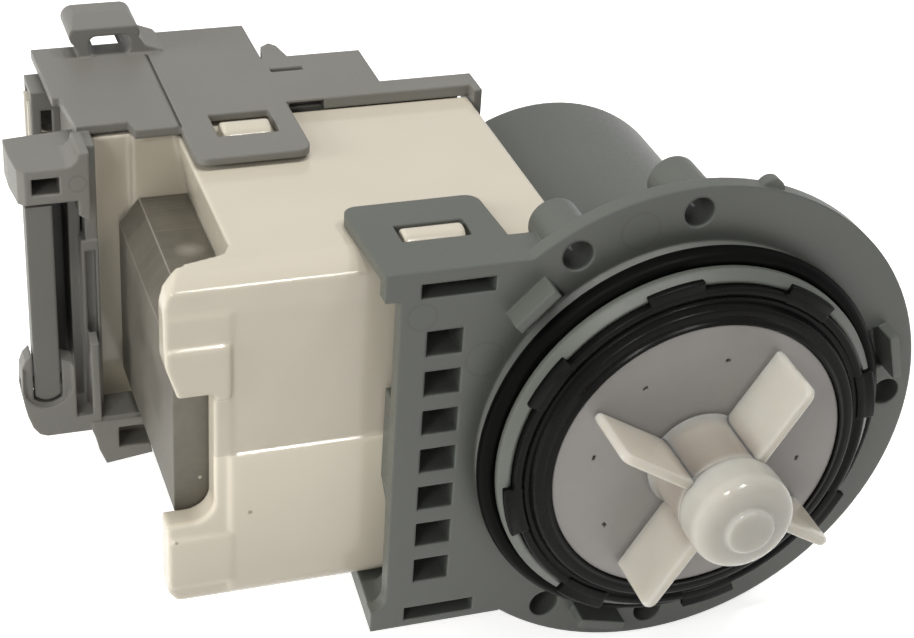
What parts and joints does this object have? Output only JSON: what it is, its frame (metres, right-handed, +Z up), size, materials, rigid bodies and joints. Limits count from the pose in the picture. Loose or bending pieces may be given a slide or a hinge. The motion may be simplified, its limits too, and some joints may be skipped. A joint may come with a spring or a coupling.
{
  "type": "washer drain pump",
  "caption": "Washing machine drain pump: flat-bladed impeller in a round flange with an O-ring boss, motor cup, cream stator block with steel yoke, vent plate and rear bracket.",
  "frame": {"origin": "on the impeller's axis, in the front face of the round flange", "axes": "impeller faces -Y, the motor lies towards +Y, the stator block towards -X, +Z is up"},
  "size_m": [0.1306, 0.1143, 0.08],
  "materials": {
    "housing_plastic": "fine texture, slightly satin",
    "bracket_plastic": "fine texture, slightly satin",
    "cream_plastic": "smooth, semi-gloss",
    "insert_plastic": "smooth",
    "ring_plastic": "gloss black",
    "disc_plastic": "smooth, slightly satin",
    "nylon": "smooth, slightly translucent",
    "dog_plastic": "smooth",
    "washer_plastic": "smooth",
    "bobbin_plastic": "smooth",
    "seal_rubber": "smooth, slightly glossy",
    "cushion_rubber": "matt",
    "shaft_steel": "ground",
    "core_steel": "stacked sheets, dull",
    "ferrite": "matt, dark",
    "bush_bronze": "sintered, matt",
    "copper_wire": "enamelled wire",
    "terminal_brass": "tinned",
    "fuse_ceramic": "glazed"
  },
  "bodies": {
    "housing": {"flange_housing": "housing_plastic", "rear_cap": "housing_plastic", "o_ring": "seal_rubber", "retaining_ring": "ring_plastic", "cover_disc": "disc_plastic", "bearing_front": "bush_bronze", "bearing_rear": "bush_bronze", "bearing_mount_front": "cushion_rubber", "bearing_mount_rear": "cushion_rubber", "stator_yoke": "core_steel", "pole_upper": "core_steel", "pole_lower": "core_steel", "bobbin_upper": "bobbin_plastic", "bobbin_lower": "bobbin_plastic", "coil_upper": "copper_wire", "coil_lower": "copper_wire", "thermal_fuse": "fuse_ceramic", "stator_overmould": "cream_plastic", "rear_bracket": "bracket_plastic", "connector_housing": "bracket_plastic", "connector_insert": "insert_plastic", "terminal_upper": "terminal_brass", "terminal_lower": "terminal_brass"},
    "rotor": {"rotor_shaft": "shaft_steel", "rotor_sleeve": "dog_plastic", "rotor_magnet": "ferrite", "drive_dog": "dog_plastic", "thrust_washer_front": "washer_plastic", "thrust_washer_rear": "washer_plastic"},
    "impeller": {"impeller": "nylon", "impeller_cap": "nylon", "cushion_upper": "cushion_rubber", "cushion_lower": "cushion_rubber"},
    "latch": {"latch_bar": "bracket_plastic"}
  },
  "joints": [
    {"name": "rotor_spin", "type": "hinge", "parent": "housing", "child": "rotor", "pos_m": [0, 0, 0], "axis": [0, 1, 0], "continuous": true},
    {"name": "impeller_play", "type": "hinge", "parent": "rotor", "child": "impeller", "pos_m": [0, 0, 0], "axis": [0, 1, 0], "range_deg": [-105, 105]},
    {"name": "latch_swing", "type": "hinge", "parent": "housing", "child": "latch", "pos_m": [-0.0865, 0.047, -0.0094], "axis": [1, 0, 0], "range_deg": [0, 70]}
  ]
}
